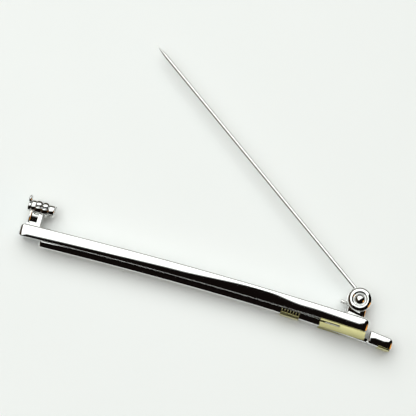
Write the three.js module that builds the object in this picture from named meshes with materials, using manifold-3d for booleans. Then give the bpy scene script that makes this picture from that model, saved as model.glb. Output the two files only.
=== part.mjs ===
// A two-way tie clip: a bowed bar with a sprung clip arm on one long face and
// brooch findings (joint, pin stem and rotating safety catch) on the other.
// Millimetres. X runs along the bar, Y points at the brooch findings and Z is
// up: the clip lies on its long side. The pin stem stands open at rest.
import * as THREE from "three";
import { mergeVertices } from "three/addons/utils/BufferGeometryUtils.js";
import Module from "manifold-3d";

const wasm = await Module();
wasm.setup();

// ---------------------------------------------------------------- driving sizes
const BAR_LENGTH = 60.2;
const BAR_THICKNESS = 2.2;
const BAR_WIDTH = 4.0;
const BAR_BOW = 0.58; // rise of the bar's middle above its ends
const BAR_BACK_Y = -0.17; // clip side of the bar, at mid length
const MID_Z = BAR_WIDTH / 2;
const MID_X = BAR_LENGTH / 2;

const ARM_TIP_X = 3.75;
const ARM_WIDTH = 3.0;
const ARM_THICKNESS = 1.0;
const ARM_WALL = 0.32;
const ARM_GAP = 0.06; // closed gap between arm and bar
const ARM_LOW = MID_Z - ARM_WIDTH / 2;
const ARM_HIGH = MID_Z + ARM_WIDTH / 2;

const BRACKET_START_X = 52.1;
const BRACKET_END_X = 59.8;
const BRACKET_WALL = 0.34;
const BRACKET_BASE = 0.22;
const CHEEK_HEIGHT = 1.42;
const PIVOT = new THREE.Vector2(57.3, -1.5);
const PIVOT_RADIUS = 0.26;
const RUNNING_GAP = 0.04; // radial clearance of every turning fit
const SEAT_GAP = 0.02; // gap between pieces that are soldered or pressed

const TAB_START_X = 60.55;
const TAB_END_X = 64.7;
const TAB_WIDTH = 3.8;
const TONGUE_END_X = 62.0;
const TONGUE_INSET = 0.5;

const HINGE = new THREE.Vector2(57.5, 4.25);
const EAR_RADIUS = 2.05;
const RIVET_RADIUS = 0.36;
const RIVET_HEAD_RADIUS = 0.92;

const WIRE_RADIUS = 0.35;
const COIL_RADIUS = RIVET_RADIUS + RUNNING_GAP + WIRE_RADIUS;
const COIL_PITCH = 0.74;
const OPEN_ANGLE = THREE.MathUtils.degToRad(35.7);
const STEM_LENGTH = 54.6;
const POINT_LENGTH = 2.6;

const CATCH_DROP = 0.2; // the closed stem slopes down by this much into the catch
const CATCH_Y = HINGE.y + COIL_RADIUS - CATCH_DROP;
const BARREL_RADIUS = 1.45;
const BARREL_START_X = 1.36;
const BARREL_END_X = 3.62;
const ROTOR_RADIUS = 1.0;
const ROTOR_BORE = 0.52;
const SLOT_WIDTH = 0.92;

const ROUND_STEPS = 28;
const BEND_STEP = 2.5; // length of one straight stretch of a bowed strip
const CORNER_STEPS = 4;
const RIM_STEPS = 4;
const FAR = 9; // reach of a cutting solid past what it cuts

// ---------------------------------------------------------------- materials
function metal(color, roughness) {
  return new THREE.MeshStandardMaterial({ color, roughness, metalness: 1 });
}
const polished = () => metal(0xd9dbd8, 0.08);
const brass = () => metal(0xdcd193, 0.22);
const steel = () => metal(0xc4c6c4, 0.12);

// ---------------------------------------------------------------- solid helpers
// Turns a closed geometry into a solid for cutting and joining.
function solid(geometry) {
  const bare = geometry.clone();
  bare.deleteAttribute("normal");
  bare.deleteAttribute("uv");
  const merged = mergeVertices(bare, 1e-5);
  const corners = merged.index.array;
  const faces = [];
  for (let i = 0; i < corners.length; i += 3) {
    const [a, b, c] = [corners[i], corners[i + 1], corners[i + 2]];
    if (a !== b && b !== c && c !== a) {
      faces.push(a, b, c);
    }
  }
  const data = new wasm.Mesh({
    numProp: 3,
    vertProperties: Float32Array.from(merged.attributes.position.array),
    triVerts: Uint32Array.from(faces),
  });
  return new wasm.Manifold(data);
}

function mesh(name, manifold, material) {
  const data = manifold.getMesh();
  const geometry = new THREE.BufferGeometry();
  geometry.setAttribute("position", new THREE.BufferAttribute(data.vertProperties, 3));
  geometry.setIndex(new THREE.BufferAttribute(data.triVerts, 1));
  geometry.computeVertexNormals();
  const piece = new THREE.Mesh(geometry, material);
  piece.name = name;
  return piece;
}

// Joins rings of equal point count, each at its own height, into a closed solid.
function loft(rings) {
  const count = rings[0].points.length;
  const positions = [];
  const faces = [];
  rings.forEach(({ points, z }) => points.forEach((p) => positions.push(p.x, p.y, z)));
  for (let level = 0; level + 1 < rings.length; level += 1) {
    for (let i = 0; i < count; i += 1) {
      const a = level * count + i;
      const b = level * count + ((i + 1) % count);
      faces.push(a, b, b + count, a, b + count, a + count);
    }
  }
  const lastStart = (rings.length - 1) * count;
  THREE.ShapeUtils.triangulateShape(rings[0].points, []).forEach(([a, b, c]) => {
    faces.push(c, b, a);
  });
  THREE.ShapeUtils.triangulateShape(rings[rings.length - 1].points, []).forEach(([a, b, c]) => {
    faces.push(lastStart + a, lastStart + b, lastStart + c);
  });
  const geometry = new THREE.BufferGeometry();
  geometry.setAttribute("position", new THREE.Float32BufferAttribute(positions, 3));
  geometry.setIndex(faces);
  return solid(geometry);
}

// A slab from z = low to z = high. outline(inset) gives the plan's points,
// counter-clockwise, and the rims are rounded by insetting the plan.
function slab(outline, low, high, rim = 0) {
  const rings = [];
  const steps = rim > 0 ? RIM_STEPS : 0;
  for (let i = 0; i <= steps; i += 1) {
    const turn = steps > 0 ? (Math.PI / 2) * (i / steps) : Math.PI / 2;
    const inset = rim * (1 - Math.sin(turn));
    rings.push({ points: outline(inset), z: low + rim * (1 - Math.cos(turn)) });
  }
  const upper = rings.map(({ points, z }) => ({ points, z: low + high - z }));
  return loft(rings.concat(upper.reverse()));
}

// Samples y = curve(x) between two places along X.
function sampled(curve, fromX, toX, steps) {
  const points = [];
  for (let i = 0; i <= steps; i += 1) {
    const x = fromX + ((toX - fromX) * i) / steps;
    points.push(new THREE.Vector2(x, curve(x)));
  }
  return points;
}

// Plan of a bowed strip between the curves low(x) and high(x), with rounded
// corners at both ends.
function strip(low, high, startX, endX, startCorner, endCorner = startCorner) {
  const LEAST_CORNER = 0.03;
  const steps = Math.ceil((endX - startX) / BEND_STEP);
  return (inset) => {
    const bottom = (x) => low(x) + inset;
    const top = (x) => high(x) - inset;
    const left = startX + inset;
    const right = endX - inset;
    const leftR = Math.max(startCorner - inset, LEAST_CORNER);
    const rightR = Math.max(endCorner - inset, LEAST_CORNER);
    const corner = (x0, y0, x1, y1, x2, y2) => new THREE.QuadraticBezierCurve(
      new THREE.Vector2(x0, y0), new THREE.Vector2(x1, y1), new THREE.Vector2(x2, y2),
    ).getPoints(CORNER_STEPS).slice(1, -1);
    const lowSide = sampled(bottom, left + leftR, right - rightR, steps);
    const highSide = sampled(top, right - rightR, left + leftR, steps);
    const lowEnd = lowSide[steps];
    const highEnd = highSide[steps];
    return [
      ...lowSide,
      ...corner(lowEnd.x, lowEnd.y, right, bottom(right), right, bottom(right) + rightR),
      new THREE.Vector2(right, bottom(right) + rightR),
      new THREE.Vector2(right, top(right) - rightR),
      ...corner(right, top(right) - rightR, right, top(right), highSide[0].x, highSide[0].y),
      ...highSide,
      ...corner(highEnd.x, highEnd.y, left, top(left), left, top(left) - leftR),
      new THREE.Vector2(left, top(left) - leftR),
      new THREE.Vector2(left, bottom(left) + leftR),
      ...corner(left, bottom(left) + leftR, left, bottom(left), lowSide[0].x, lowSide[0].y),
    ];
  };
}

function box(minX, minY, minZ, maxX, maxY, maxZ) {
  const geometry = new THREE.BoxGeometry(maxX - minX, maxY - minY, maxZ - minZ);
  geometry.translate((minX + maxX) / 2, (minY + maxY) / 2, (minZ + maxZ) / 2);
  return solid(geometry);
}

// A turned piece; profile points are (radius, place along the axis).
function turned(profile) {
  const points = profile.map(([radius, along]) => new THREE.Vector2(radius, along));
  return new THREE.LatheGeometry(points, ROUND_STEPS);
}

function turnedZ(profile, x, y) {
  const geometry = turned(profile);
  geometry.rotateX(Math.PI / 2);
  geometry.translate(x, y, 0);
  return solid(geometry);
}

function turnedX(profile, y, z) {
  const geometry = turned(profile);
  geometry.rotateZ(-Math.PI / 2);
  geometry.translate(0, y, z);
  return solid(geometry);
}

function rod(radius, start, end) {
  return [[0, start], [radius, start], [radius, end], [0, end]];
}

// ---------------------------------------------------------------- the bow
// The bar's clip side, as a shallow parabola.
function backY(x) {
  const along = (x - MID_X) / MID_X;
  return BAR_BACK_Y - BAR_BOW * along * along;
}

const frontY = (x) => backY(x) + BAR_THICKNESS;

// The arm's outer face follows the bow, then leans away towards the pivot.
function armOuterY(x) {
  const LEAN_START_X = 38;
  const LEAN_RATE = 0.0011;
  const lean = Math.max(0, x - LEAN_START_X);
  return backY(x) - ARM_GAP - ARM_THICKNESS - LEAN_RATE * lean * lean;
}

const armInnerY = (x) => armOuterY(x) + ARM_WALL;

// ---------------------------------------------------------------- main bar
function makeMainBar() {
  const LEFT_CORNER = 0.7;
  const RIGHT_CORNER = 1.05;
  const RIM = 0.45;
  const plan = strip(backY, frontY, 0, BAR_LENGTH, LEFT_CORNER, RIGHT_CORNER);
  return mesh("main_bar", slab(plan, 0, BAR_WIDTH, RIM), polished());
}

// ---------------------------------------------------------------- clip bracket
const bracketTopY = (x) => backY(x) - SEAT_GAP;
const bracketBaseY = (x) => bracketTopY(x) - BRACKET_BASE;
const cheekBottomY = (x) => bracketTopY(x) - CHEEK_HEIGHT;

function makeClipBracket() {
  const SIDE_INSET = 0.06;
  const CORNER = 0.08;
  const RELIEF_END_X = 55.4;
  const RELIEF_TOP = 0.04;
  const RELIEF_DEPTH = 0.3;
  const low = SIDE_INSET;
  const high = BAR_WIDTH - SIDE_INSET;
  const plan = strip(cheekBottomY, bracketTopY, BRACKET_START_X, BRACKET_END_X, CORNER);
  const channel = strip(
    (x) => cheekBottomY(x) - 1, bracketBaseY, BRACKET_START_X - 1, BRACKET_END_X + 1, CORNER);
  const relief = strip(
    (x) => bracketBaseY(x) - RELIEF_DEPTH, (x) => bracketBaseY(x) - RELIEF_TOP,
    BRACKET_START_X - 1, RELIEF_END_X, CORNER);
  const hole = turnedZ(rod(PIVOT_RADIUS + SEAT_GAP, -FAR, FAR), PIVOT.x, PIVOT.y);
  const bracket = slab(plan, low, high)
    .subtract(slab(channel, low + BRACKET_WALL, high - BRACKET_WALL))
    .subtract(slab(relief, -FAR, FAR))
    .subtract(hole);
  return mesh("clip_bracket", bracket, brass());
}

function makePivotPin() {
  const INSET = 0.05;
  const pin = turnedZ(rod(PIVOT_RADIUS, INSET, BAR_WIDTH - INSET), PIVOT.x, PIVOT.y);
  return mesh("clip_pivot_pin", pin, brass());
}

// A flat spring: clamped under the bracket's base, it passes over the cross
// pin and bears on the inside of the arm behind it.
function makeClipSpring() {
  const HALF_WIDTH = 0.85;
  const THICKNESS = 0.12;
  const START_X = 53.0;
  const END_X = 59.6;
  const BEND_X = 57.9;
  const GAP = 0.03;
  const lastDrop = bracketBaseY(END_X) - armInnerY(END_X) - 2 * GAP - THICKNESS;
  const top = (x) => {
    const along = Math.max(0, (x - BEND_X) / (END_X - BEND_X));
    return bracketBaseY(x) - GAP - lastDrop * along;
  };
  const plan = strip((x) => top(x) - THICKNESS, top, START_X, END_X, 0.04);
  return mesh("clip_spring", slab(plan, MID_Z - HALF_WIDTH, MID_Z + HALF_WIDTH), steel());
}

// ---------------------------------------------------------------- clip arm
const wallTopY = (x) => armOuterY(x) + ARM_THICKNESS;

// Top of the walls inside the bracket: under its base up to the cross pin, then
// sloping down so that the tail can be pressed.
function insideTopY(x) {
  const ROOM = 0.05;
  const BEHIND_SLOPE = 0.24;
  return bracketBaseY(x) - ROOM - BEHIND_SLOPE * Math.max(0, x - PIVOT.x);
}

function makeClipArm() {
  const TIP_CORNER = 0.34;
  const CORNER = 0.1;
  const RIM = 0.12;
  const LUG = 0.16;
  const BRACKET_ROOM = 0.1;
  const CHANNEL_START_X = ARM_TIP_X + 1.1;
  const END_X = 60.35;
  const plan = strip(armOuterY, wallTopY, ARM_TIP_X, END_X, TIP_CORNER, CORNER);
  const channel = strip(
    armInnerY, (x) => armOuterY(x) + 2 * ARM_THICKNESS, CHANNEL_START_X, END_X + 1, CORNER);
  const room = strip(
    insideTopY, (x) => insideTopY(x) + FAR, BRACKET_START_X - BRACKET_ROOM, END_X + 1, CORNER);
  const tongue = strip(armOuterY, armInnerY, END_X - 1, TONGUE_END_X, CORNER);
  const lug = turnedZ(rod(PIVOT_RADIUS + RUNNING_GAP + LUG, ARM_LOW, ARM_HIGH), PIVOT.x, PIVOT.y);
  const hole = turnedZ(rod(PIVOT_RADIUS + RUNNING_GAP, -FAR, FAR), PIVOT.x, PIVOT.y);
  const arm = slab(plan, ARM_LOW, ARM_HIGH, RIM)
    .subtract(slab(room, -FAR, FAR))
    .add(lug)
    .subtract(slab(channel, ARM_LOW + ARM_WALL, ARM_HIGH - ARM_WALL))
    .add(slab(tongue, ARM_LOW + TONGUE_INSET, ARM_HIGH - TONGUE_INSET))
    .subtract(hole);
  return mesh("clip_arm", arm, polished());
}

// ---------------------------------------------------------------- grip band
function makeGripBand() {
  const RIBS = 7;
  const PITCH = 0.487;
  const RIB_WIDTH = 0.24;
  const RIB_HEIGHT = 0.12;
  const FIRST_X = 45.45;
  const BASE = 0.12;
  const BASE_INSET = 0.07;
  const WRAP = 0.86; // how far the ribs reach up the arm's sides
  const CORNER = 0.05;
  const endX = FIRST_X + (RIBS - 1) * PITCH + RIB_WIDTH;
  const low = ARM_LOW - SEAT_GAP - RIB_HEIGHT;
  const high = ARM_HIGH + SEAT_GAP + RIB_HEIGHT;
  const seatY = (x) => armOuterY(x) - SEAT_GAP;
  const baseY = (x) => seatY(x) - BASE;
  const topY = (x) => armOuterY(x) + WRAP;
  const base = strip(baseY, seatY, FIRST_X + BASE_INSET, endX - BASE_INSET, CORNER);
  const seat = strip(seatY, (x) => topY(x) + 1, FIRST_X - 1, endX + 1, CORNER);
  let band = slab(base, low + BASE_INSET, high - BASE_INSET);
  for (let i = 0; i < RIBS; i += 1) {
    const x = FIRST_X + i * PITCH;
    const rib = strip((at) => baseY(at) - RIB_HEIGHT / 2, topY, x, x + RIB_WIDTH, CORNER);
    band = band.add(slab(rib, low, high));
  }
  band = band.subtract(slab(seat, ARM_LOW - SEAT_GAP, ARM_HIGH + SEAT_GAP));
  return mesh("grip_band", band, brass());
}

// ---------------------------------------------------------------- thumb tab
function makeThumbTab() {
  const LEFT_CORNER = 0.5;
  const RIGHT_CORNER = 1.0;
  const RIM = 0.7;
  const TOP_Y = -0.02;
  const TOP_SLOPE = 0.13;
  const POCKET_DEPTH = 0.05;
  const topY = (x) => TOP_Y - TOP_SLOPE * (x - TAB_START_X);
  const low = MID_Z - TAB_WIDTH / 2;
  const plan = strip(armOuterY, topY, TAB_START_X, TAB_END_X, LEFT_CORNER, RIGHT_CORNER);
  const pocket = strip(
    (x) => armOuterY(x) - 1, (x) => armInnerY(x) + SEAT_GAP,
    TAB_START_X - 1, TONGUE_END_X + POCKET_DEPTH, POCKET_DEPTH);
  const inset = TONGUE_INSET - SEAT_GAP;
  const tab = slab(plan, low, low + TAB_WIDTH, RIM)
    .subtract(slab(pocket, ARM_LOW + inset, ARM_HIGH - inset));
  return mesh("thumb_tab", tab, polished());
}

function makeThumbPad() {
  const START_X = 62.3;
  const END_X = 64.3;
  const THICKNESS = 0.14;
  const HALF_WIDTH = 1.25;
  const CORNER = 0.05;
  const innerY = (x) => armOuterY(x) - SEAT_GAP;
  const plan = strip((x) => innerY(x) - THICKNESS, innerY, START_X, END_X, CORNER);
  return mesh("thumb_pad", slab(plan, MID_Z - HALF_WIDTH, MID_Z + HALF_WIDTH), brass());
}

// ---------------------------------------------------------------- brooch joint
const EAR_LOW_Z = 0.5; // underside of the lower ear's plate
const EAR_THICKNESS = 0.56;
const EAR_RECESS = 0.1; // depth of the seat of the rivet's head
const JOINT_HALF = MID_Z - EAR_LOW_Z;

// One ear: a flat plate with a rounded raised ring about the rivet's head.
function ear() {
  const BEAD = 0.26;
  const BEAD_STEPS = 8;
  const CHAMFER = 0.15;
  const HEAD_ROOM = 0.08;
  const inner = RIVET_RADIUS + SEAT_GAP;
  const beadInner = RIVET_HEAD_RADIUS + HEAD_ROOM;
  const beadMiddle = (beadInner + EAR_RADIUS) / 2;
  const beadHalf = (EAR_RADIUS - beadInner) / 2;
  const seat = EAR_THICKNESS - EAR_RECESS;
  const profile = [[inner, 0], [EAR_RADIUS - CHAMFER, 0], [EAR_RADIUS, CHAMFER]];
  for (let i = 0; i <= BEAD_STEPS; i += 1) {
    const turn = (Math.PI * i) / BEAD_STEPS;
    const radius = beadMiddle + beadHalf * Math.cos(turn);
    profile.push([radius, seat + (BEAD + EAR_RECESS) * Math.sin(turn)]);
  }
  profile.push([inner, seat], [inner, 0]);
  return profile;
}

function makePinJoint() {
  const NECK_HALF = 1.35;
  const FOOT_THICKNESS = 0.28;
  const FOOT_START_X = 56.5;
  const FOOT_END_X = 59.0;
  const CORNER = 0.1;
  const NECK_DROP = 1.0; // the neck's top below the rivet
  const NECK_STEP = 0.06; // the neck's faces lie this much inside the ears'
  const footLowY = (x) => frontY(x) + SEAT_GAP;
  const footTopY = (x) => footLowY(x) + FOOT_THICKNESS;
  const foot = strip(footLowY, footTopY, FOOT_START_X, FOOT_END_X, CORNER);
  const rootY = (x) => footLowY(x) + FOOT_THICKNESS / 2;
  const neck = strip(rootY, () => HINGE.y - NECK_DROP, HINGE.x - NECK_HALF, HINGE.x + NECK_HALF, CORNER);
  const upper = ear().map(([radius, z]) => [radius, MID_Z + JOINT_HALF - EAR_THICKNESS + z]);
  const lower = ear().map(([radius, z]) => [radius, MID_Z - JOINT_HALF + EAR_THICKNESS - z]);
  lower.reverse();
  const hole = turnedZ(rod(RIVET_RADIUS + SEAT_GAP, -FAR, FAR), HINGE.x, HINGE.y);
  const low = MID_Z - JOINT_HALF;
  const high = MID_Z + JOINT_HALF;
  const ears = turnedZ(upper, HINGE.x, HINGE.y).add(turnedZ(lower, HINGE.x, HINGE.y));
  const neckPlates = slab(neck, low, low + EAR_THICKNESS - NECK_STEP)
    .add(slab(neck, high - EAR_THICKNESS + NECK_STEP, high));
  const joint = ears
    .add(neckPlates)
    .subtract(hole)
    .add(slab(foot, low, high));
  return mesh("pin_joint", joint, polished());
}

// The rivet's heads are as far apart as the bar is wide, so that the clip can
// lie on the bar's side and one head.
function makeJointRivet() {
  const DOME_STEPS = 6;
  const seatZ = JOINT_HALF - EAR_RECESS + SEAT_GAP;
  const headHeight = BAR_WIDTH / 2 - seatZ;
  const dome = [];
  for (let i = 0; i <= DOME_STEPS; i += 1) {
    const turn = (Math.PI / 2) * (i / DOME_STEPS);
    dome.push([RIVET_HEAD_RADIUS * Math.cos(turn), seatZ + headHeight * Math.sin(turn)]);
  }
  dome[DOME_STEPS][0] = 0;
  const upper = [[RIVET_RADIUS, seatZ], ...dome];
  const lower = upper.map(([radius, z]) => [radius, -z]).reverse();
  const profile = [...lower, ...upper].map(([radius, z]) => [radius, MID_Z + z]);
  return mesh("joint_rivet", turnedZ(profile, HINGE.x, HINGE.y), steel());
}

// ---------------------------------------------------------------- pin stem
// A wire sheath: rings of points round a path, closed at both ends.
function wire(path, radiusAt) {
  const SIDES = 10;
  const positions = [];
  const faces = [];
  const up = new THREE.Vector3(0, 0, 1);
  path.forEach((point, i) => {
    const before = path[Math.max(0, i - 1)];
    const after = path[Math.min(path.length - 1, i + 1)];
    const ahead = after.clone().sub(before).normalize();
    const side = new THREE.Vector3().crossVectors(up, ahead).normalize();
    const over = new THREE.Vector3().crossVectors(ahead, side);
    for (let k = 0; k < SIDES; k += 1) {
      const turn = (2 * Math.PI * k) / SIDES;
      const spoke = side.clone().multiplyScalar(Math.cos(turn) * radiusAt(i));
      spoke.addScaledVector(over, Math.sin(turn) * radiusAt(i)).add(point);
      positions.push(spoke.x, spoke.y, spoke.z);
    }
  });
  for (let i = 0; i + 1 < path.length; i += 1) {
    for (let k = 0; k < SIDES; k += 1) {
      const a = i * SIDES + k;
      const b = i * SIDES + ((k + 1) % SIDES);
      faces.push(a, b, b + SIDES, a, b + SIDES, a + SIDES);
    }
  }
  const last = (path.length - 1) * SIDES;
  for (let k = 1; k + 1 < SIDES; k += 1) {
    faces.push(0, k + 1, k, last, last + k, last + k + 1);
  }
  const geometry = new THREE.BufferGeometry();
  geometry.setAttribute("position", new THREE.Float32BufferAttribute(positions, 3));
  geometry.setIndex(faces);
  return solid(geometry);
}

// The wire runs from its needle point to the rivet, winds round it going down,
// and leaves as a short tail that stops against the bar.
function makePinStem() {
  const TIP_RADIUS = 0.05;
  const TAIL_LENGTH = 3.05;
  const TAIL_HEADING = THREE.MathUtils.degToRad(200);
  const TAIL_BEND = THREE.MathUtils.degToRad(-34);
  const TAIL_STEPS = 6;
  const COIL_STEPS = 36;
  const STEM_STEPS = 6;
  const POINT_STEPS = 5;
  const startTurn = Math.PI / 2 - OPEN_ANGLE;
  const endTurn = TAIL_HEADING + Math.PI / 2 - 4 * Math.PI;
  const turns = (startTurn - endTurn) / (2 * Math.PI);
  const coilTopZ = MID_Z + (turns * COIL_PITCH) / 2;
  const onCoil = (turn, z) => new THREE.Vector3(
    HINGE.x + COIL_RADIUS * Math.cos(turn), HINGE.y + COIL_RADIUS * Math.sin(turn), z);
  const start = onCoil(startTurn, coilTopZ);
  const away = Math.PI - OPEN_ANGLE;
  const tip = new THREE.Vector3(
    start.x + STEM_LENGTH * Math.cos(away), start.y + STEM_LENGTH * Math.sin(away), MID_Z);
  const path = [];
  const radii = [];
  for (let i = 0; i <= POINT_STEPS; i += 1) {
    const along = ((POINT_LENGTH * i) / POINT_STEPS) / STEM_LENGTH;
    path.push(tip.clone().lerp(start, along));
    const taper = Math.sin((Math.PI / 2) * (i / POINT_STEPS));
    radii.push(TIP_RADIUS + (WIRE_RADIUS - TIP_RADIUS) * taper);
  }
  for (let i = 1; i < STEM_STEPS; i += 1) {
    const from = POINT_LENGTH / STEM_LENGTH;
    path.push(tip.clone().lerp(start, from + ((1 - from) * i) / STEM_STEPS));
    radii.push(WIRE_RADIUS);
  }
  for (let i = 0; i <= COIL_STEPS; i += 1) {
    const part = i / COIL_STEPS;
    path.push(onCoil(startTurn + (endTurn - startTurn) * part, coilTopZ - turns * COIL_PITCH * part));
    radii.push(WIRE_RADIUS);
  }
  for (let i = 1; i <= TAIL_STEPS; i += 1) {
    const heading = TAIL_HEADING + TAIL_BEND * ((i - 0.5) / TAIL_STEPS);
    const step = new THREE.Vector3(Math.cos(heading), Math.sin(heading), 0);
    path.push(path[path.length - 1].clone().addScaledVector(step, TAIL_LENGTH / TAIL_STEPS));
    radii.push(WIRE_RADIUS);
  }
  return mesh("pin_stem", wire(path, (i) => radii[i]), steel());
}

// ---------------------------------------------------------------- safety catch
function makeCatchBase() {
  const FOOT_THICKNESS = 0.26;
  const FOOT_START_X = 0.75;
  const FOOT_END_X = 3.1;
  const FOOT_HALF = 1.15;
  const PLATE_START_X = 0.8;
  const PLATE_END_X = 1.16;
  const PLATE_RADIUS = 1.25;
  const PLATE_HALF = 0.95;
  const PLATE_OVERLAP = 0.1;
  const LEG_STEP = 0.04;
  const SIDE_TOP_DROP = 0.55;
  const STRAP_START_X = 2.3;
  const STRAP_END_X = 3.05;
  const STRAP_HALF = 0.8;
  const bore = ROTOR_RADIUS + RUNNING_GAP;
  const CORNER = 0.08;
  const footLowY = (x) => frontY(x) + SEAT_GAP;
  const footTopY = (x) => footLowY(x) + FOOT_THICKNESS;
  const foot = slab(
    strip(footLowY, footTopY, FOOT_START_X, FOOT_END_X, CORNER), MID_Z - FOOT_HALF, MID_Z + FOOT_HALF);
  const rootY = (x) => footLowY(x) + FOOT_THICKNESS / 2;
  const sideTopY = () => CATCH_Y - SIDE_TOP_DROP;
  const plate = slab(
    strip(rootY, sideTopY, PLATE_START_X + LEG_STEP, PLATE_END_X, CORNER),
    MID_Z - PLATE_HALF, MID_Z + PLATE_HALF);
  const strap = slab(
    strip(rootY, sideTopY, STRAP_START_X, STRAP_END_X, CORNER),
    MID_Z - STRAP_HALF, MID_Z + STRAP_HALF);
  const barrel = turnedX(rod(BARREL_RADIUS, BARREL_START_X, BARREL_END_X), CATCH_Y, MID_Z);
  const plateRound = turnedX(
    rod(PLATE_RADIUS, PLATE_START_X, BARREL_START_X + PLATE_OVERLAP), CATCH_Y, MID_Z);
  const hole = turnedX(rod(bore, -FAR, FAR), CATCH_Y, MID_Z);
  const mouth = box(
    -FAR, CATCH_Y, MID_Z - SLOT_WIDTH / 2, FAR, CATCH_Y + FAR, MID_Z + SLOT_WIDTH / 2);
  const base = plate.add(plateRound).add(barrel).add(strap)
    .subtract(hole)
    .subtract(mouth)
    .add(foot);
  return mesh("catch_base", base, polished());
}

function makeCatchRotor() {
  const START_X = 0.2;
  const LEFT_COLLAR_END_X = 0.72;
  const RIGHT_COLLAR_START_X = BARREL_END_X + 0.06;
  const END_X = 4.68;
  const COLLAR = 1.14;
  const ROUNDING = 0.16;
  const LEVER_RADIUS = 0.76;
  const LEVER_REACH = 1.42;
  const LEVER_STEP = 0.03; // the lever's faces stand off the collar's
  const LEVER_ROUNDING = 0.2;
  const LEVER_TURN = THREE.MathUtils.degToRad(48);
  const leverY = CATCH_Y + LEVER_REACH * Math.cos(LEVER_TURN);
  const leverZ = MID_Z + LEVER_REACH * Math.sin(LEVER_TURN);
  const profile = [
    [ROTOR_BORE, START_X],
    [COLLAR - ROUNDING, START_X],
    [COLLAR, START_X + ROUNDING],
    [COLLAR, LEFT_COLLAR_END_X],
    [ROTOR_RADIUS, LEFT_COLLAR_END_X],
    [ROTOR_RADIUS, RIGHT_COLLAR_START_X],
    [COLLAR, RIGHT_COLLAR_START_X],
    [COLLAR, END_X - ROUNDING],
    [COLLAR - ROUNDING, END_X],
    [ROTOR_BORE, END_X],
    [ROTOR_BORE, START_X],
  ];
  const leverStart = START_X - LEVER_STEP;
  const leverEnd = LEFT_COLLAR_END_X - LEVER_STEP;
  const lever = [
    [0, leverStart],
    [LEVER_RADIUS - LEVER_ROUNDING, leverStart],
    [LEVER_RADIUS, leverStart + LEVER_ROUNDING],
    [LEVER_RADIUS, leverEnd],
    [0, leverEnd],
  ];
  const slot = box(
    START_X - 1, CATCH_Y, MID_Z - SLOT_WIDTH / 2, END_X + 1, CATCH_Y + FAR, MID_Z + SLOT_WIDTH / 2);
  const rotor = turnedX(profile, CATCH_Y, MID_Z)
    .subtract(slot)
    .add(turnedX(lever, leverY, leverZ));
  return mesh("catch_rotor", rotor, polished());
}

// ---------------------------------------------------------------- build
const clip = new THREE.Group();
clip.position.set(-MID_X, -(frontY(MID_X) + backY(MID_X)) / 2, 0);
clip.add(makeMainBar());
clip.add(makeClipBracket());
clip.add(makePivotPin());
clip.add(makeClipSpring());
clip.add(makeClipArm());
clip.add(makeGripBand());
clip.add(makeThumbTab());
clip.add(makeThumbPad());
clip.add(makePinJoint());
clip.add(makeJointRivet());
clip.add(makePinStem());
clip.add(makeCatchBase());
clip.add(makeCatchRotor());
export default clip;
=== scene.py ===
"""Looks of a polished tie clip with a brooch pin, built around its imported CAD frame."""
import math

import bmesh
import bpy
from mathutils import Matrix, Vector


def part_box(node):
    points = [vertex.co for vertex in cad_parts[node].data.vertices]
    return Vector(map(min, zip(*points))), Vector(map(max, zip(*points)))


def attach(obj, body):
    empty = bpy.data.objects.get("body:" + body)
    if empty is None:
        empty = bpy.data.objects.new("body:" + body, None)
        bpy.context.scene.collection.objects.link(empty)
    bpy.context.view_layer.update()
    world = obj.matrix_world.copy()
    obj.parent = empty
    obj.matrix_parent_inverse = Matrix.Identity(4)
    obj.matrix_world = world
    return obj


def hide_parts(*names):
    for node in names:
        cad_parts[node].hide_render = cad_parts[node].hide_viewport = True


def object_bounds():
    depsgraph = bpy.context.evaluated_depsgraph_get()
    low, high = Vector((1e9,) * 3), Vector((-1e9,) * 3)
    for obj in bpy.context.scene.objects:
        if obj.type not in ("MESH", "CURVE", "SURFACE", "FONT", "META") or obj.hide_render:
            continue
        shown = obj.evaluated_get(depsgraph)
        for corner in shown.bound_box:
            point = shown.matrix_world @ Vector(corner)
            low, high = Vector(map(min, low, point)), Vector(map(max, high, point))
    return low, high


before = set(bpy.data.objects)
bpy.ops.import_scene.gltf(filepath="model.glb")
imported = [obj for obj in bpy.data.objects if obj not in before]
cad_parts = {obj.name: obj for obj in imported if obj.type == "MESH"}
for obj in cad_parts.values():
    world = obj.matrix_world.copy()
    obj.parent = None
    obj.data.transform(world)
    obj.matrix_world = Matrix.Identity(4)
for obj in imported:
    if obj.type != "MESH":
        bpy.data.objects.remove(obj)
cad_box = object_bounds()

MM = 0.001

# Sizes in millimetres, in the CAD frame: X along the bar, Y towards the brooch
# findings, Z up, origin at the middle of the bar's resting side.
bar_low, bar_high = [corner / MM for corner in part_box("main_bar")]
BAR_HALF_LENGTH = (bar_high.x - bar_low.x) / 2
BAR_HALF_THICK = 1.1
BAR_WIDTH = bar_high.z
MID_Z = BAR_WIDTH / 2
BAR_BOW = (bar_high.y - bar_low.y) - 2 * BAR_HALF_THICK

arm_low, arm_high = [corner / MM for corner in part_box("clip_arm")]
ARM_THICKNESS = 1.0
ARM_GAP = 0.06
ARM_HALF_WIDTH = (arm_high.z - arm_low.z) / 2
ARM_WALL = 0.32
LEAN_START_X = 7.9
LEAN_RATE = 0.0011

bracket_low, bracket_high = [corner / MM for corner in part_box("clip_bracket")]
BRACKET_BASE = 0.22
CHEEK_HEIGHT = 1.42
RELIEF_END_X = 25.3
RELIEF_HEIGHT = 0.3
SEAT_GAP = 0.02

tab_low, tab_high = [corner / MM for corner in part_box("thumb_tab")]

rivet_low, rivet_high = [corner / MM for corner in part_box("joint_rivet")]
HINGE = (rivet_low + rivet_high) / 2
WIRE_RADIUS = 0.35
COIL_RADIUS = 0.75

rotor_low, rotor_high = [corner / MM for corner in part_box("catch_rotor")]
CATCH_DROP = 0.2
CATCH_Y = HINGE.y + COIL_RADIUS - CATCH_DROP

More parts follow.
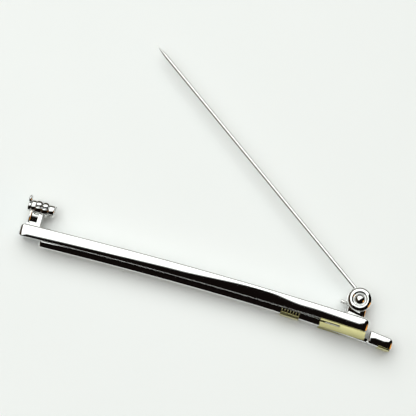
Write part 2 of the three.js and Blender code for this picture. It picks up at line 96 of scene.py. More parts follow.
# A turned profile stops this short of its axis.
NEAR_AXIS = 0.01


# ------------------------------------------------------------ mesh helpers
def piece(name, shells, material, body, nodes, sharp):
    """One object made of closed shells; each shell is (points, faces) in mm."""
    mesh = bpy.data.meshes.new(name)
    points = []
    faces = []
    for shell_points, shell_faces in shells:
        start = len(points)
        points += [Vector(p) * MM for p in shell_points]
        faces += [[start + i for i in face] for face in shell_faces]
    mesh.from_pydata(points, [], faces)
    work = bmesh.new()
    work.from_mesh(mesh)
    bmesh.ops.recalc_face_normals(work, faces=work.faces)
    work.to_mesh(mesh)
    work.free()
    for polygon in mesh.polygons:
        polygon.use_smooth = True
    mesh.set_sharp_from_angle(angle=math.radians(sharp))
    mesh.materials.append(material)
    obj = bpy.data.objects.new(name, mesh)
    bpy.context.scene.collection.objects.link(obj)
    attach(obj, body)
    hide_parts(*nodes)
    return obj


def soften(obj, width):
    """Rounds the crisp edges of a piece by a small radius, in mm."""
    SEGMENTS, CRISP_ANGLE = 3, 32.0
    bevel = obj.modifiers.new("edge_round", "BEVEL")
    bevel.width = width * MM
    bevel.segments = SEGMENTS
    bevel.limit_method = "ANGLE"
    bevel.angle_limit = math.radians(CRISP_ANGLE)
    bevel.harden_normals = True


def strips(count, levels):
    """Faces that join rings of count points, for each pair of levels."""
    faces = []
    for here, ahead in levels:
        for i in range(count):
            j = (i + 1) % count
            faces.append((here * count + i, here * count + j,
                          ahead * count + j, ahead * count + i))
    return faces


def loft(rings):
    """A closed shell through rings of equal point count."""
    count = len(rings[0])
    points = [p for ring in rings for p in ring]
    faces = strips(count, [(level, level + 1) for level in range(len(rings) - 1)])
    last = (len(rings) - 1) * count
    faces.append(tuple(reversed(range(count))))
    faces.append(tuple(range(last, last + count)))
    return points, faces


def rounded(corners, steps):
    """Outline points of a polygon whose corners (a, b, radius) are rounded."""
    MOST_OF_SIDE = 0.45
    outline = []
    total = len(corners)
    for i, (a, b, radius) in enumerate(corners):
        here = Vector((a, b))
        back = Vector(corners[i - 1][:2]) - here
        ahead = Vector(corners[(i + 1) % total][:2]) - here
        reach = min(radius, MOST_OF_SIDE * back.length, MOST_OF_SIDE * ahead.length)
        start = here + back.normalized() * reach
        end = here + ahead.normalized() * reach
        for k in range(steps + 1):
            t = k / steps
            outline.append(start * (1 - t) ** 2 + here * 2 * t * (1 - t) + end * t * t)
    return outline


def section(x, outline, base_y=0.0):
    """Puts an outline of (y, z) points, Z from mid width, into a section at x."""
    return [(x, base_y + y, MID_Z + z) for y, z in outline]


def standing_outline(low_y, high_y, low_half, high_half, low_round, high_round):
    """A rounded outline with its own half width at its low and at its high edge."""
    STEPS = 4
    return rounded([(low_y, -low_half, low_round), (low_y, low_half, low_round),
                    (high_y, high_half, high_round), (high_y, -high_half, high_round)], STEPS)


def turned(profile, place, axis, steps=72):
    """Rings of a turned shape; profile points are (radius, place along the axis)."""
    rings = []
    for radius, along in profile:
        ring = []
        for k in range(steps):
            turn = 2 * math.pi * k / steps
            c, s = radius * math.cos(turn), radius * math.sin(turn)
            if axis == "z":
                ring.append((place.x + c, place.y + s, along))
            else:
                ring.append((along, place.y + c, place.z + s))
        rings.append(ring)
    return rings


def turned_solid(profile, place, axis, steps=72):
    """A closed turned shell; the profile's ends, near the axis, are capped."""
    return loft(turned(profile, place, axis, steps))


def turned_ring(profile, place, axis, steps=72):
    """A turned shell whose profile is a closed loop that never meets the axis."""
    rings = turned(profile, place, axis, steps)
    total = len(rings)
    points = [p for ring in rings for p in ring]
    return points, strips(steps, [(level, (level + 1) % total) for level in range(total)])


def arc(centre, radius, start, end, steps):
    """Points (a, b) on an arc, from angle start to end in degrees."""
    points = []
    for k in range(steps + 1):
        turn = math.radians(start + (end - start) * k / steps)
        points.append((centre[0] + radius * math.cos(turn), centre[1] + radius * math.sin(turn)))
    return points


def spread(start, end, step):
    """Evenly spaced values from start to end, no further apart than step."""
    count = max(1, math.ceil((end - start) / step))
    return [start + (end - start) * k / count for k in range(count + 1)]


# ------------------------------------------------------------ materials
def node_setup(name):
    material = bpy.data.materials.new(name)
    material.use_nodes = True
    tree = material.node_tree
    shader = tree.nodes["Principled BSDF"]
    return material, tree, shader


def object_coordinates(tree, scale):
    """Object coordinates scaled to details per metre."""
    place = tree.nodes.new("ShaderNodeTexCoord")
    mapping = tree.nodes.new("ShaderNodeMapping")
    mapping.inputs["Scale"].default_value = scale
    tree.links.new(place.outputs["Object"], mapping.inputs["Vector"])
    return mapping.outputs["Vector"]


def noise(tree, vector, detail, roughness):
    texture = tree.nodes.new("ShaderNodeTexNoise")
    texture.inputs["Scale"].default_value = 1.0
    texture.inputs["Detail"].default_value = detail
    texture.inputs["Roughness"].default_value = roughness
    tree.links.new(vector, texture.inputs["Vector"])
    return texture.outputs["Fac"]


def ranged(tree, value, low, high, from_low=0.3, from_high=0.7):
    node = tree.nodes.new("ShaderNodeMapRange")
    node.inputs["From Min"].default_value = from_low
    node.inputs["From Max"].default_value = from_high
    node.inputs["To Min"].default_value = low
    node.inputs["To Max"].default_value = high
    tree.links.new(value, node.inputs["Value"])
    return node.outputs["Result"]


def tinted(tree, value, dark, light):
    mix = tree.nodes.new("ShaderNodeMix")
    mix.data_type = "RGBA"
    mix.inputs["A"].default_value = (*dark, 1)
    mix.inputs["B"].default_value = (*light, 1)
    tree.links.new(value, mix.inputs["Factor"])
    return mix.outputs["Result"]


def bumped(tree, shader, height, strength, distance):
    bump = tree.nodes.new("ShaderNodeBump")
    bump.inputs["Strength"].default_value = strength
    bump.inputs["Distance"].default_value = distance * MM
    tree.links.new(height, bump.inputs["Height"])
    tree.links.new(bump.outputs["Normal"], shader.inputs["Normal"])


def make_metal(name, dark, light, rough_low, rough_high, grain, bump_strength, bump_depth):
    """A polished metal: cloudy wear, fine polishing lines along X, slight waviness."""
    CLOUD_SCALE, SHARE = (420, 420, 420), 0.5
    material, tree, shader = node_setup(name)
    shader.inputs["Metallic"].default_value = 1.0
    cloud = noise(tree, object_coordinates(tree, CLOUD_SCALE), 4, 0.55)
    lines = noise(tree, object_coordinates(tree, grain), 3, 0.6)
    tree.links.new(tinted(tree, cloud, dark, light), shader.inputs["Base Color"])
    cloud_share = tree.nodes.new("ShaderNodeMath")
    cloud_share.operation = "MULTIPLY"
    cloud_share.inputs[1].default_value = SHARE
    tree.links.new(cloud, cloud_share.inputs[0])
    blend = tree.nodes.new("ShaderNodeMath")
    blend.operation = "MULTIPLY_ADD"
    blend.inputs[1].default_value = SHARE
    tree.links.new(lines, blend.inputs[0])
    tree.links.new(cloud_share.outputs["Value"], blend.inputs[2])
    wear = ranged(tree, blend.outputs["Value"], rough_low, rough_high)
    tree.links.new(wear, shader.inputs["Roughness"])
    bumped(tree, shader, lines, bump_strength, bump_depth)
    return material


def make_floor_material():
    DARK, LIGHT = (0.86, 0.87, 0.855), (0.885, 0.892, 0.878)
    CLOUD_SCALE, GRAIN_SCALE = (30, 30, 30), (1800, 1800, 1800)
    material, tree, shader = node_setup("pale_table")
    cloud = noise(tree, object_coordinates(tree, CLOUD_SCALE), 3, 0.5)
    tree.links.new(tinted(tree, cloud, DARK, LIGHT), shader.inputs["Base Color"])
    shader.inputs["Roughness"].default_value = 0.6
    grain = noise(tree, object_coordinates(tree, GRAIN_SCALE), 3, 0.5)
    bumped(tree, shader, grain, 0.15, 0.02)
    return material


SILVER = make_metal(
    "polished_silver", (0.86, 0.865, 0.85), (0.93, 0.93, 0.92), 0.02, 0.06,
    (900, 9000, 9000), 0.03, 0.002)
BRASS = make_metal(
    "pale_brass", (0.64, 0.605, 0.29), (0.72, 0.68, 0.34), 0.28, 0.4,
    (700, 9000, 9000), 0.1, 0.003)
STEEL = make_metal(
    "polished_wire", (0.82, 0.82, 0.8), (0.9, 0.9, 0.885), 0.03, 0.08,
    (900, 7000, 7000), 0.04, 0.002)


# ------------------------------------------------------------ shared curves
def back_y(x):
    """The bar's clip side."""
    return -BAR_HALF_THICK - BAR_BOW * (x / BAR_HALF_LENGTH) ** 2


def bar_front_y(x):
    """The bar's brooch side."""
    return back_y(x) + 2 * BAR_HALF_THICK


def arm_outer_y(x):
    """The arm's outer face, which leans away from the bar past LEAN_START_X."""
    lean = max(0.0, x - LEAN_START_X)
    return back_y(x) - ARM_GAP - ARM_THICKNESS - LEAN_RATE * lean * lean


def bracket_top_y(x):
    """The bracket's seat against the bar."""
    return back_y(x) - SEAT_GAP


# ------------------------------------------------------------ bar and thumb tab
def slab_section(x, middle_y, half_thick, half_width, edges, crown_radius, tilt):
    """A crowned section; edges are the rounding of its low and its high side."""
    CORNER_STEPS = 7
    t, w = half_thick, half_width
    low, high = edges
    corners = [(-t, -w, low), (0, -w, t), (t, -w, high), (t, 0, w), (t, w, high),
               (0, w, t), (-t, w, low), (-t, 0, w)]
    ring = []
    for y, z in rounded(corners, CORNER_STEPS):
        z -= math.copysign(y * y / (2 * crown_radius), z)
        if z > 0:
            z -= math.tan(tilt) * (t - y)
        ring.append((x, middle_y + y, MID_Z + z))
    return ring


def bullet_ends(start_x, end_x, start_radius, end_radius, steps=10):
    """Stations along X as (x, inset) that round both ends off."""
    STEP = 0.8
    stations = []
    for k in range(steps + 1):
        turn = math.pi / 2 * (1 - k / steps)
        stations.append((start_x + start_radius * (1 - math.sin(turn)),
                         start_radius * (1 - math.cos(turn))))
    for x in spread(start_x + start_radius, end_x - end_radius, STEP)[1:-1]:
        stations.append((x, 0.0))
    for k in range(steps + 1):
        turn = math.pi / 2 * k / steps
        stations.append((end_x - end_radius * (1 - math.sin(turn)),
                         end_radius * (1 - math.cos(turn))))
    return stations


def bar_tilt(x):
    """The polished upper side's lean at x: (x, degrees) places, eased between."""
    PLACES = [(-30, 3.4), (-18, 3.6), (-2, 4.9), (12, 8.4), (20, 3.5), (31, 0.9)]
    for (x0, lean0), (x1, lean1) in zip(PLACES, PLACES[1:]):
        if x <= x1:
            break
    t = min(1.0, max(0.0, (x - x0) / (x1 - x0)))
    return math.radians(lean0 + (lean1 - lean0) * t * t * (3 - 2 * t))


def make_main_bar():
    EDGES, CROWN, SIDE_GAP = (0.1, 0.5), 8.0, 0.04
    LEFT_ROUND, RIGHT_ROUND = 0.7, 1.0
    rings = []
    for x, inset in bullet_ends(-BAR_HALF_LENGTH, BAR_HALF_LENGTH, LEFT_ROUND, RIGHT_ROUND):
        rings.append(slab_section(
            x, back_y(x) + BAR_HALF_THICK, BAR_HALF_THICK - inset,
            MID_Z - SIDE_GAP - inset, EDGES, CROWN, bar_tilt(x)))
    piece("bar_body", [loft(rings)], SILVER, "bar", ["main_bar"], sharp=60)


def tab_section(x, inset):
    """The tab at x, down to the arm's outer face."""
    EDGES, CROWN, TOP_SLOPE, LEAN = (0.3, 0.95), 5.0, 0.13, 2.5
    half_width = (tab_high.z - tab_low.z) / 2
    top = tab_high.y - TOP_SLOPE * (x - tab_low.x)
    bottom = arm_outer_y(x)
    return slab_section(x, (top + bottom) / 2, (top - bottom) / 2 - inset,
                        half_width - inset, EDGES, CROWN, math.radians(LEAN))


def make_thumb_tab():
    INNER_ROUND, OUTER_ROUND = 0.25, 0.8
    rings = [tab_section(x, inset)
             for x, inset in bullet_ends(tab_low.x, tab_high.x, INNER_ROUND, OUTER_ROUND)]
    piece("tab_body", [loft(rings)], SILVER, "arm", ["thumb_tab"], sharp=60)


# ------------------------------------------------------------ clip arm
def arm_section(x, height, floor_y, inset, flat):
    """A channel, narrow at its outer face, whose walls slope out towards the bar."""
    FALL, RIDGE_ROUND, EDGE_ROUND, FLOOR_ROUND = 0.5, 0.2, 0.06, 0.1
    LIP, FILLET, CORNER_STEPS = 0.02, 0.08, 5
    w, h, wall = ARM_HALF_WIDTH, height, ARM_WALL
    floor_half = w - wall - FILLET
    corners = [(0, FALL - w, RIDGE_ROUND), (0, w - FALL, RIDGE_ROUND),
               (h - flat, w, EDGE_ROUND), (h, w - LIP, LIP), (h, w - wall, EDGE_ROUND),
               (floor_y, floor_half, FLOOR_ROUND), (floor_y, -floor_half, FLOOR_ROUND),
               (h, wall - w, EDGE_ROUND), (h, LIP - w, LIP), (h - flat, -w, EDGE_ROUND)]
    ring = []
    shrink_y = 1 - 2 * inset / height
    shrink_z = 1 - inset / w
    for y, z in rounded(corners, CORNER_STEPS):
        ring.append((x, arm_outer_y(x) + h / 2 + (y - h / 2) * shrink_y, MID_Z + z * shrink_z))
    return ring


def blade_rings(end_x):
    """The long blade, solid at its tip and a channel behind it."""
    TIP_RADIUS, END_ROUND, CHANNEL_START, TIP_GAP = 0.48, 0.01, 1.1, 0.06
    FLAT, FLARE, FLARE_PLACE, FLARE_SPREAD = 0.015, 0.13, 0.9, 2.6
    rings = []
    for x, inset in bullet_ends(arm_low.x, end_x, TIP_RADIUS, END_ROUND):
        along = x - arm_low.x
        fill = max(0.0, 1 - along / CHANNEL_START)
        floor_y = ARM_WALL + (ARM_THICKNESS - TIP_GAP - ARM_WALL) * fill
        flat = FLAT + FLARE * math.exp(-((along - FLARE_PLACE) / FLARE_SPREAD) ** 2)
        rings.append(arm_section(x, ARM_THICKNESS, floor_y, inset, flat))
    return rings


def root_rings(start_x):
    """The blade's root, cut lower to lie inside the bracket."""
    REAR_LENGTH, STEP, BASE_GAP = 1.65, 0.6, 0.06
    REAR_FALL, FALL_LEAD, RELIEF_MARGIN = 0.24, 0.2, 0.4
    fall_start = HINGE.x - FALL_LEAD
    rings = []
    for x in spread(start_x, arm_high.x - REAR_LENGTH, STEP):
        inside = bracket_top_y(x) - BRACKET_BASE - BASE_GAP
        inside -= REAR_FALL * max(0.0, x - fall_start)
        inside -= RELIEF_HEIGHT if x < RELIEF_END_X + RELIEF_MARGIN else 0.0
        height = min(inside - arm_outer_y(x), ARM_THICKNESS)
        rings.append(arm_section(x, height, ARM_WALL, 0.0, 0.0))
    return rings


def make_clip_arm():
    WALL_GAP, ROOT_STEP = 0.1, 0.03
    TONGUE_LENGTH, TONGUE_STEP = 2.2, 0.5
    wall_end = bracket_low.x - WALL_GAP
    rings = blade_rings(wall_end) + root_rings(wall_end + ROOT_STEP)
    tongue_outline = standing_outline(0.02, 0.3, 1, 1, 0.08, 0.08)
    tongue_rings = [section(x, tongue_outline, arm_outer_y(x))
                    for x in spread(arm_high.x - TONGUE_LENGTH, arm_high.x, TONGUE_STEP)]
    piece("arm_blade", [loft(rings), loft(tongue_rings)], SILVER, "arm", ["clip_arm"],
          sharp=40)


# ------------------------------------------------------------ brass pieces
def bracket_relief():
    """The shell that is cut out of both cheeks, as a slot below the base."""
    MARGIN, DROP = 1, 0.04
    BELOW, ABOVE = -1, 5
    rings = []
    for x in (bracket_low.x - MARGIN, bracket_low.x + MARGIN, RELIEF_END_X):
        top = bracket_top_y(x) - BRACKET_BASE - DROP
        low = top - RELIEF_HEIGHT
        rings.append([(x, top, BELOW), (x, top, ABOVE), (x, low, ABOVE), (x, low, BELOW)])
    return loft(rings)


def make_clip_bracket():
    CHEEK_THICKNESS, STEP, CORNER_STEPS = 0.34, 0.7, 4
    OUTER_ROUND, INNER_ROUND, EDGE_ROUND = 0.16, 0.06, 0.05
    outer = MID_Z - bracket_low.z
    inner = outer - CHEEK_THICKNESS
    corners = [(0, -outer, OUTER_ROUND), (0, outer, OUTER_ROUND),
               (-CHEEK_HEIGHT, outer, EDGE_ROUND), (-CHEEK_HEIGHT, inner, EDGE_ROUND),
               (-BRACKET_BASE, inner, INNER_ROUND), (-BRACKET_BASE, -inner, INNER_ROUND),
               (-CHEEK_HEIGHT, -inner, EDGE_ROUND), (-CHEEK_HEIGHT, -outer, EDGE_ROUND)]
    outline = rounded(corners, CORNER_STEPS)
    rings = [section(x, outline, bracket_top_y(x))
             for x in spread(bracket_low.x, bracket_high.x, STEP)]
    bracket = piece("bracket_channel", [loft(rings)], BRASS, "bar", ["clip_bracket"],
                    sharp=40)
    cut(bracket, bracket_relief())
    soften(bracket, EDGE_ROUND)


def cut(obj, shell):
    """Takes a shell out of a piece and keeps the result in its mesh."""
    points, faces = shell
    mesh = bpy.data.meshes.new("cutter")
    mesh.from_pydata([Vector(p) * MM for p in points], [], faces)
    cutter = bpy.data.objects.new("cutter", mesh)
    bpy.context.scene.collection.objects.link(cutter)
    modifier = obj.modifiers.new("cut", "BOOLEAN")
    modifier.object = cutter
    modifier.solver = "EXACT"
    bpy.context.view_layer.update()
    evaluated = obj.evaluated_get(bpy.context.evaluated_depsgraph_get())
    result = bpy.data.meshes.new_from_object(evaluated)
    obj.modifiers.remove(modifier)
    obj.data = result
    bpy.data.objects.remove(cutter)


def grip_rib(x, side):
    """One rib along an arm wall; its route is (height, distance in from the side)."""
    ROUTE = ((0.8, 0.02), (0.5, 0.22), (0.12, 0.42), (-0.02, 0.62))
    HALF_RIB, OUT, IN = 0.085, 0.13, 0.03
    LEAN_Y, LEAN_Z = 0.45, 0.85
    rings = []
    for y, distance_in in ROUTE:
        z = ARM_HALF_WIDTH - distance_in
        ring = []
        for a, b in arc((0, 0), 1.0, 0, 330, 11):
            reach = IN + (OUT - IN) * b if b > 0 else IN * b
            ring.append((x + HALF_RIB * a, arm_outer_y(x) + y - LEAN_Y * reach,
                         MID_Z + side * (z + LEAN_Z * reach)))
        rings.append(ring)
    return loft(rings)


def make_grip_band():
    RIBS, PITCH, FIRST_X, MARGIN = 7, 0.487, 15.47, 0.12
    OUT, WALL_TOP, INNER, CORNER_STEPS = -0.16, 0.3, -0.02, 3
    w = ARM_HALF_WIDTH
    shells = []
    for side in (1, -1):
        for i in range(RIBS):
            shells.append(grip_rib(FIRST_X + i * PITCH, side))
    outline = rounded([(OUT, 0.4 - w, 0.1), (OUT, w - 0.4, 0.1), (WALL_TOP, w - 0.24, 0.04),
                       (WALL_TOP, w - 0.3, 0.02), (INNER, w - 0.6, 0.02), (INNER, 0.6 - w, 0.02),
                       (WALL_TOP, 0.3 - w, 0.02), (WALL_TOP, 0.24 - w, 0.04)], CORNER_STEPS)
    shells.append(loft([section(x, outline, arm_outer_y(x)) for x in
                        (FIRST_X - MARGIN, FIRST_X + (RIBS - 1) * PITCH + MARGIN)]))
    piece("band_ribs", shells, BRASS, "arm", ["grip_band"], sharp=50)


def make_thumb_pad():
    """A thin plate that hugs the tab's outer face and its rounded edges."""
    THICK, REACH, STEP = 0.07, 0.36, 0.1
    END_SHARE, CENTRE_HEIGHT, Z_SHARE = 0.35, 1.0, 0.45
    pad_low, pad_high = [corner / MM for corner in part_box("thumb_pad")]
    rings = []
    for x in spread(pad_low.x, pad_high.x, STEP):
        low = arm_outer_y(x)
        hugged = [p for p in tab_section(x, 0.0) if p[1] < low + REACH]
        hugged.sort(key=lambda p: p[2])
        from_end = min(x - pad_low.x, pad_high.x - x)
        thick = THICK * min(1.0, END_SHARE + from_end / STEP)
        inner, outer = [], []
        for _, y, z in hugged:
            away = Vector((y - low - CENTRE_HEIGHT, (z - MID_Z) * Z_SHARE)).normalized()
            inner.append((x, y + away.x * SEAT_GAP / 2, z + away.y * SEAT_GAP / 2))
            outer.append((x, y + away.x * thick, z + away.y * thick))
        rings.append(inner + outer[::-1])
    piece("pad_plate", [loft(rings)], BRASS, "arm", ["thumb_pad"], sharp=40)


def make_pivot_pin():
    CHAMFER, STEPS = 0.05, 40
    pin_low, pin_high = [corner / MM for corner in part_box("clip_pivot_pin")]
    place = (pin_low + pin_high) / 2
    radius = (pin_high.x - pin_low.x) / 2
    profile = [(NEAR_AXIS, pin_low.z), (radius - CHAMFER, pin_low.z),
               (radius, pin_low.z + CHAMFER), (radius, pin_high.z - CHAMFER),
               (radius - CHAMFER, pin_high.z), (NEAR_AXIS, pin_high.z)]
    piece("cross_pin", [turned_solid(profile, place, "z", STEPS)], BRASS, "bar",
          ["clip_pivot_pin"], sharp=30)


# ------------------------------------------------------------ brooch joint
PLATE_IN = 0.94
PLATE_THICKNESS = 0.56
PLATE_OUT = PLATE_IN + PLATE_THICKNESS


def ear_profile():
    """A round plate with a raised bead, as (radius, distance from mid width)."""
    EAR, HOLE, BEAD_INNER, BEAD_HEIGHT = 2.05, 0.38, 1.02, 0.4
    RIM_ROUND, BEAD_STEPS, LEAN = 0.1, 25, 1.5
    bead_root = PLATE_OUT - RIM_ROUND
    profile = [(HOLE, PLATE_IN), (EAR - 0.12, PLATE_IN), (EAR - 0.03, PLATE_IN + 0.04),
               (EAR, PLATE_IN + 0.14), (EAR, bead_root)]
    for k in range(1, BEAD_STEPS):
        turn = math.pi * k / BEAD_STEPS
        across = ((1 + math.cos(turn)) / 2) ** LEAN
        profile.append((BEAD_INNER + (EAR - BEAD_INNER) * across,
                        bead_root + (BEAD_HEIGHT + RIM_ROUND) * math.sin(turn)))
    profile += [(BEAD_INNER, bead_root), (HOLE, bead_root)]
    return profile


def joint_neck(side):
    """The leg that joins one ear to the foot, its outer face falling inwards."""
    HALF, TOP_DROP, ROOT_DEPTH, FALL = 1.45, 0.9, 0.04, 0.15
    EDGE_ROUND, CORNER_STEPS = 0.05, 5
    root = bar_front_y(HINGE.x) + ROOT_DEPTH
    top = HINGE.y - TOP_DROP
    rings = []
    for z, narrow in ((PLATE_IN, 0.06), (PLATE_IN + 0.06, 0),
                      (PLATE_OUT - 0.14, 0), (PLATE_OUT, 0.16)):
        left = HINGE.x - HALF + narrow
        right = HINGE.x + HALF - narrow
        outline = rounded([(left, root, EDGE_ROUND), (right, root, EDGE_ROUND),
                           (right, top, EDGE_ROUND), (left, top, EDGE_ROUND)], CORNER_STEPS)
        fall = FALL * (z - PLATE_IN) / PLATE_THICKNESS
        rings.append([(x, y, MID_Z + side * (z - fall * (top - y))) for x, y in outline])
    return loft(rings)


def foot_plate(start_x, end_x, step, half_width, thickness):
    """A flat foot that follows the bar's brooch side."""
    LOW_ROUND, HIGH_ROUND = 0.05, 0.1
    outline = standing_outline(0, thickness, half_width, half_width, LOW_ROUND, HIGH_ROUND)
    return loft([section(x, outline, bar_front_y(x) + SEAT_GAP)
                 for x in spread(start_x, end_x, step)])


def make_pin_joint():
    shells = []
    for side in (1, -1):
        profile = [(radius, MID_Z + side * along) for radius, along in ear_profile()]
        shells.append(turned_ring(profile, HINGE, "z"))
        shells.append(joint_neck(side))
    shells.append(foot_plate(HINGE.x - 1.0, HINGE.x + 1.5, 0.5, 0.98, 0.28))
    piece("joint_yoke", shells, SILVER, "bar", ["pin_joint"], sharp=40)


def make_joint_rivet():
    HEAD, SHANK, SEAT, CAP, STEPS = 0.92, 0.36, 1.42, 0.42, 16
    height = rivet_high.z - MID_Z - SEAT
    ball = (HEAD * HEAD + CAP * CAP) / (2 * CAP)
    profile = []
    for side in (-1, 1):
        dome = [(SHANK, side * SEAT), (HEAD, side * SEAT)]
        for k in range(STEPS):
            radius = HEAD * (1 - k / STEPS)
            sink = ball - math.sqrt(ball * ball - radius * radius)
            dome.append((radius, side * (SEAT + height - sink)))
        dome.append((NEAR_AXIS, side * (SEAT + height)))
        profile += dome if side > 0 else list(reversed(dome))
    profile = [(radius, MID_Z + along) for radius, along in profile]
    piece("rivet_dome", [turned_solid(profile, HINGE, "z")], STEEL, "bar", ["joint_rivet"],
          sharp=50)


# ------------------------------------------------------------ pin stem
STEM_OPEN = math.radians(35.7)
TAIL_HEADING = math.radians(200)


def on_coil(turn, z):
    return Vector((HINGE.x + COIL_RADIUS * math.cos(turn),
                   HINGE.y + COIL_RADIUS * math.sin(turn), z))


def needle_run(start):
    """The straight needle from its point to the coil, as (place, wire radius)."""
    LENGTH, POINT, POINT_RADIUS = 54.6, 2.6, 0.02
    POINT_STEPS, SHAFT_STEPS = 12, 30
    away = math.pi - STEM_OPEN
    tip = Vector((start.x + LENGTH * math.cos(away), start.y + LENGTH * math.sin(away), MID_Z))
    run = []
    for k in range(POINT_STEPS + 1):
        part = k / POINT_STEPS
        radius = POINT_RADIUS + (WIRE_RADIUS - POINT_RADIUS) * math.sin(math.pi / 2 * part)
        run.append((tip.lerp(start, POINT * part / LENGTH), radius))
    for k in range(1, SHAFT_STEPS):
        part = (POINT + (LENGTH - POINT) * k / SHAFT_STEPS) / LENGTH
        run.append((tip.lerp(start, part), WIRE_RADIUS))
    return run


def tail_run(place):
    """The bent tail from the coil's end, rounded at its tip, as (place, wire radius)."""
    TAIL, STEPS, BEND = 3.05, 12, math.radians(-34)
    TIP_STEPS, TIP_STEP, TIP_ROUND = 4, 0.02, 0.1
    run = []
    for k in range(STEPS):
        heading = TAIL_HEADING + BEND * (k + 0.5) / STEPS
        step = Vector((math.cos(heading), math.sin(heading), 0)) * TAIL / STEPS
        place = place + step
        run.append((place, WIRE_RADIUS))
    for k in range(1, TIP_STEPS + 1):
        turn = math.pi / 2 * k / TIP_STEPS
        place = place + step.normalized() * TIP_STEP
        run.append((place, WIRE_RADIUS - TIP_ROUND * (1 - math.cos(turn))))
    return run


def wire(run):
    """A round wire along a run of (place, radius)."""
    STEPS = 28
    places = [place for place, _ in run]
    rings = []
    for k, (place, radius) in enumerate(run):
        ahead = places[min(k + 1, len(places) - 1)] - places[max(k - 1, 0)]
        ahead.normalize()
        side = Vector((0, 0, 1)).cross(ahead).normalized()
        rise = ahead.cross(side)
        ring = []
        for m in range(STEPS):
            turn = 2 * math.pi * m / STEPS
            ring.append(place + (side * math.cos(turn) + rise * math.sin(turn)) * radius)
        rings.append(ring)
    return loft(rings)


def make_pin_stem():
    """One wire from its needle point, round the rivet going down, to its tail."""
    PITCH, COIL_STEPS = 0.74, 96
    start_turn = math.pi / 2 - STEM_OPEN
    end_turn = TAIL_HEADING + math.pi / 2 - 4 * math.pi
    drop = (start_turn - end_turn) / (2 * math.pi) * PITCH
    top = MID_Z + drop / 2
    run = needle_run(on_coil(start_turn, top))
    for k in range(COIL_STEPS + 1):
        part = k / COIL_STEPS
        turn = start_turn + (end_turn - start_turn) * part
        run.append((on_coil(turn, top - drop * part), WIRE_RADIUS))
    run += tail_run(run[-1][0])
    piece("needle_wire", [wire(run)], STEEL, "pin", ["pin_stem"], sharp=50)


# ------------------------------------------------------------ safety catch
def split_tube(stations, bore, mouth_half, seam=0.0):
    """A tube along X with a mouth facing +Y; stations are (x, outer radius)."""
    SEAM_WIDTH, OUTER_STEPS, INNER_STEPS, WIDEST = 0.1, 96, 40, 0.95
    rings = []
    for x, outer in stations:
        open_out = math.degrees(math.asin(mouth_half / outer))
        open_in = math.degrees(math.asin(min(WIDEST, mouth_half / bore)))
        outline = []
        for y, z in arc((0, 0), 1.0, open_out, 360 - open_out, OUTER_STEPS):
            groove = seam * math.exp(-(y / SEAM_WIDTH) ** 2)
            outline.append(((outer - groove) * y, (outer - groove) * z))
        outline += arc((0, 0), bore, 360 - open_in, open_in, INNER_STEPS)
        rings.append(section(x, outline, CATCH_Y))
    return loft(rings)


def lobed_stations(start, end, radius, lobes, sink, steps=9):
    """Stations of a barrel whose outside swells into lobes side by side."""
    FULLNESS, SAME_PLACE = 0.7, 1e-4
    stations = []
    width = (end - start) / lobes
    for lobe in range(lobes):
        for k in range(steps + 1):
            turn = math.pi * k / steps
            x = start + width * (lobe + (1 - math.cos(turn)) / 2)
            stations.append((x, radius - sink * (1 - math.sin(turn) ** FULLNESS)))
    return [station for i, station in enumerate(stations)
            if i == 0 or station[0] > stations[i - 1][0] + SAME_PLACE]


def rounded_stations(start, end, radius, corner, steps=5):
    """Stations of a short cylinder with rounded ends; the arcs stop short of flat."""
    SKIPPED = 0.35
    first = math.pi / 2 * SKIPPED
    corner_arc = []
    for k in range(steps + 1):
        turn = math.pi / 2 * (SKIPPED + (1 - SKIPPED) * k / steps)
        corner_arc.append((corner * (math.cos(first) - math.cos(turn)),
                           radius - corner * (1 - math.sin(turn))))
    stations = [(start + along, outer) for along, outer in corner_arc]
    stations += [(end - along, outer) for along, outer in reversed(corner_arc)]
    return stations


def upright(start, end, half_low, half_high, top_y, low_y, corner):
    """A leg across the catch, its edges eased where it starts and ends."""
    EASE = 0.04
    rings = []
    for x, shrink in ((start, EASE), (start + EASE, 0), (end - EASE, 0), (end, EASE)):
        outline = standing_outline(
            low_y, top_y - shrink, half_low - shrink, half_high - shrink, corner, corner)
        rings.append(section(x, outline))
    return loft(rings)


def catch_web(start, end, low_y):
    """The dark web between the catch's two legs, leaning towards the upper side."""
    ROOT_HEIGHT, TOP_DROP, EDGE_ROUND, CORNER_STEPS = 0.2, 1.1, 0.05, 4
    root = low_y + ROOT_HEIGHT
    top = CATCH_Y - TOP_DROP
    outline = rounded([(root, -0.5, EDGE_ROUND), (root, 0.0, EDGE_ROUND),
                       (top, 0.4, EDGE_ROUND), (top, -0.3, EDGE_ROUND)], CORNER_STEPS)
    return loft([section(x, outline) for x in (start, end)])


def make_catch_base():
    """Along X from x0: a plate with its leg, the web, then the lobed barrel and its leg."""
    BORE, MOUTH, LEG_ROUND, LEG_DEPTH = 1.04, 0.46, 0.06, 0.1
    base_low, base_high = [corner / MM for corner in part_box("catch_base")]
    x0 = base_low.x
    barrel = lobed_stations(x0 + 0.62, base_high.x, 1.45, 2, 0.26)
    plate = rounded_stations(x0 + 0.05, x0 + 0.7, 1.25, 0.08)
    low_y = bar_front_y(x0 + 1) + SEAT_GAP
    leg_low = low_y + LEG_DEPTH
    shells = [
        split_tube(barrel, BORE, MOUTH, seam=0.16),
        split_tube(plate, BORE, MOUTH),
        upright(x0 + 0.1, x0 + 0.36, 0.7, 1.1, CATCH_Y - 0.95, leg_low, LEG_ROUND),
        upright(x0 + 1.55, x0 + 2.3, 0.8, 0.8, CATCH_Y - 1.12, leg_low, LEG_ROUND),
        catch_web(x0 + 0.38, x0 + 1.6, low_y),
        foot_plate(x0, x0 + 2.35, 0.6, 1.15, 0.26),
    ]
    piece("catch_barrel", shells, SILVER, "bar", ["catch_base"], sharp=35)


